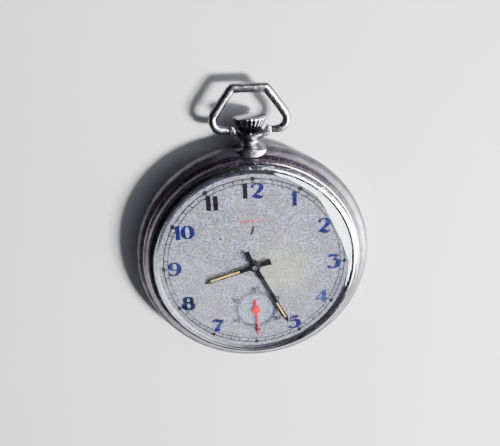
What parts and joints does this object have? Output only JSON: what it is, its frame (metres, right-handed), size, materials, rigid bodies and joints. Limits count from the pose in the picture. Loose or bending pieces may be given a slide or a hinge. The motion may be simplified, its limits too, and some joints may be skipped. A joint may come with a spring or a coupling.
{
  "type": "pocket watch",
  "caption": "open-face mechanical pocket watch with domed glass, small seconds, fluted crown inside a swinging angular bow, and a full hand-wound lever movement",
  "frame": {"origin": "centre of the flat rest face of the case back", "axes": "+Z out of the dial along the centre arbor, +Y towards 12 o'clock and the pendant, +X towards 3 o'clock"},
  "size_m": [0.0502, 0.0623, 0.012],
  "materials": {
    "case_metal": "polished nickel-plated brass, frosted on the band, scratched and worn",
    "crystal": "clear domed watch glass",
    "dial": "aged silvered dial with printed blue numerals",
    "hand_black": "black lacquer with worn bright edges",
    "hand_red": "red lacquer",
    "lume": "aged cream luminous paint",
    "movement_nickel": "nickel-plated brass with fine striping",
    "brass": "gilt brass, circular grained",
    "steel": "polished steel",
    "blued_steel": "heat-blued steel"
  },
  "bodies": {
    "case": {"case_middle": "case_metal", "bezel": "case_metal", "crystal": "crystal", "case_back": "case_metal", "pendant": "case_metal", "case_screw_a": "blued_steel", "case_screw_b": "blued_steel", "dial": "dial", "main_plate": "movement_nickel", "barrel_bridge": "movement_nickel", "train_bridge": "movement_nickel", "escapement_cock": "movement_nickel", "balance_cock": "movement_nickel", "balance_cock_screw": "blued_steel", "endpiece": "steel", "hairspring": "blued_steel", "hairspring_stud": "steel", "click_spring": "blued_steel", "yoke_spring": "blued_steel", "crown_wheel_screw": "steel"},
    "bow": {"bow": "case_metal"},
    "winding_pinion": {"winding_pinion": "steel"},
    "crown_stem": {"crown": "case_metal", "winding_stem": "steel"},
    "sliding_pinion": {"sliding_pinion": "steel"},
    "setting_lever": {"setting_lever": "steel"},
    "yoke": {"yoke": "steel"},
    "crown_wheel": {"crown_wheel": "steel"},
    "ratchet": {"ratchet_wheel": "steel", "ratchet_screw": "steel", "barrel_arbor": "steel"},
    "click": {"click": "steel"},
    "barrel": {"barrel_drum": "brass", "barrel_cover": "brass", "mainspring": "blued_steel"},
    "centre_wheel": {"centre_wheel": "brass", "centre_arbor": "steel"},
    "third_wheel": {"third_wheel": "brass", "third_arbor": "steel"},
    "fourth_wheel": {"fourth_wheel": "brass", "fourth_arbor": "steel", "seconds_hand": "hand_red"},
    "escape_wheel": {"escape_wheel": "steel", "escape_arbor": "steel"},
    "pallet_fork": {"pallet_fork": "steel", "pallet_arbor": "steel"},
    "balance": {"balance_wheel": "brass", "balance_staff": "steel", "roller": "steel"},
    "regulator": {"regulator": "steel"},
    "minute_hand": {"cannon_pinion": "steel", "minute_hand": "hand_black", "minute_lume": "lume"},
    "minute_wheel": {"minute_wheel": "brass"},
    "hour_hand": {"hour_wheel": "brass", "hour_hand": "hand_black", "hour_lume": "lume"},
    "setting_wheel": {"setting_wheel": "steel"},
    "intermediate_wheel": {"intermediate_wheel": "steel"}
  },
  "joints": [
    {"name": "bow_swing", "type": "hinge", "parent": "case", "child": "bow", "pos_m": [0, 0.02805, 0.0046], "axis": [1, 0, 0], "range_deg": [-100, 100]},
    {"name": "winding_turn", "type": "hinge", "parent": "case", "child": "winding_pinion", "pos_m": [0, 0.0166, 0.0046], "axis": [0, 1, 0], "continuous": true},
    {"name": "crown_pull", "type": "slide", "parent": "winding_pinion", "child": "crown_stem", "axis": [0, 1, 0], "range_m": [0, 0.0009]},
    {"name": "sliding_pinion_shift", "type": "slide", "parent": "winding_pinion", "child": "sliding_pinion", "axis": [0, -1, 0], "range_m": [0, 0.0009]},
    {"name": "setting_lever_turn", "type": "hinge", "parent": "case", "child": "setting_lever", "pos_m": [0.0039, 0.0166, 0.0072], "axis": [0, 0, 1], "range_deg": [-15, 0]},
    {"name": "yoke_turn", "type": "hinge", "parent": "case", "child": "yoke", "pos_m": [-0.0044, 0.0172, 0.0072], "axis": [0, 0, 1], "range_deg": [-13, 0]},
    {"name": "crown_wheel_turn", "type": "hinge", "parent": "case", "child": "crown_wheel", "pos_m": [0, 0.01226, 0.0021], "axis": [0, 0, 1], "continuous": true},
    {"name": "ratchet_turn", "type": "hinge", "parent": "case", "child": "ratchet", "pos_m": [-0.00922, 0.0043, 0.0021], "axis": [0, 0, 1], "continuous": true},
    {"name": "click_rock", "type": "hinge", "parent": "case", "child": "click", "pos_m": [-0.0065, 0.0148, 0.0022], "axis": [0, 0, 1], "range_deg": [-10, 0]},
    {"name": "seconds_hand_turn", "type": "hinge", "parent": "case", "child": "fourth_wheel", "pos_m": [0, -0.01075, 0.005], "axis": [0, 0, 1], "continuous": true},
    {"name": "third_wheel_turn", "type": "hinge", "parent": "case", "child": "third_wheel", "pos_m": [0.00188, -0.00583, 0.0038], "axis": [0, 0, 1], "continuous": true},
    {"name": "centre_wheel_turn", "type": "hinge", "parent": "case", "child": "centre_wheel", "pos_m": [0, 0, 0.0054], "axis": [0, 0, 1], "continuous": true},
    {"name": "barrel_turn", "type": "hinge", "parent": "case", "child": "barrel", "pos_m": [-0.00922, 0.0043, 0.0046], "axis": [0, 0, 1], "continuous": true},
    {"name": "escape_wheel_turn", "type": "hinge", "parent": "case", "child": "escape_wheel", "pos_m": [0.00455, -0.01241, 0.0044], "axis": [0, 0, 1], "continuous": true},
    {"name": "pallet_rock", "type": "hinge", "parent": "case", "child": "pallet_fork", "pos_m": [0.00724, -0.01017, 0.0044], "axis": [0, 0, 1], "range_deg": [-5, 5]},
    {"name": "balance_swing", "type": "hinge", "parent": "case", "child": "balance", "pos_m": [0.0108, -0.0072, 0.0032], "axis": [0, 0, 1], "range_deg": [-270, 270]},
    {"name": "regulator_turn", "type": "hinge", "parent": "case", "child": "regulator", "pos_m": [0.0108, -0.0072, 0.001], "axis": [0, 0, 1], "range_deg": [-15, 15]},
    {"name": "minute_hand_turn", "type": "hinge", "parent": "case", "child": "minute_hand", "pos_m": [0, 0, 0.0074], "axis": [0, 0, 1], "continuous": true},
    {"name": "minute_wheel_turn", "type": "hinge", "parent": "case", "child": "minute_wheel", "pos_m": [0, 0.0036, 0.0075], "axis": [0, 0, 1], "continuous": true},
    {"name": "hour_hand_turn", "type": "hinge", "parent": "case", "child": "hour_hand", "pos_m": [0, 0, 0.0079], "axis": [0, 0, 1], "continuous": true},
    {"name": "setting_wheel_turn", "type": "hinge", "parent": "case", "child": "setting_wheel", "pos_m": [0, 0.00792, 0.0075], "axis": [0, 0, 1], "continuous": true},
    {"name": "intermediate_wheel_turn", "type": "hinge", "parent": "case", "child": "intermediate_wheel", "pos_m": [0, 0.01116, 0.0075], "axis": [0, 0, 1], "continuous": true}
  ],
  "couplings": [
    {"joint": "third_wheel_turn", "follows": "seconds_hand_turn", "ratio": -0.13333},
    {"joint": "centre_wheel_turn", "follows": "seconds_hand_turn", "ratio": 0.016667},
    {"joint": "barrel_turn", "follows": "seconds_hand_turn", "ratio": -0.002381},
    {"joint": "escape_wheel_turn", "follows": "seconds_hand_turn", "ratio": -10},
    {"joint": "minute_wheel_turn", "follows": "minute_hand_turn", "ratio": -0.33333},
    {"joint": "hour_hand_turn", "follows": "minute_hand_turn", "ratio": 0.083333},
    {"joint": "setting_wheel_turn", "follows": "minute_hand_turn", "ratio": 0.55556},
    {"joint": "intermediate_wheel_turn", "follows": "minute_hand_turn", "ratio": -0.55556},
    {"joint": "crown_wheel_turn", "follows": "winding_turn", "ratio": 0.41935},
    {"joint": "ratchet_turn", "follows": "winding_turn", "ratio": -0.23214},
    {"joint": "sliding_pinion_shift", "follows": "crown_pull", "ratio": 1},
    {"joint": "setting_lever_turn", "follows": "crown_pull", "rad_per_m": -256.41},
    {"joint": "yoke_turn", "follows": "crown_pull", "rad_per_m": -232.56}
  ]
}
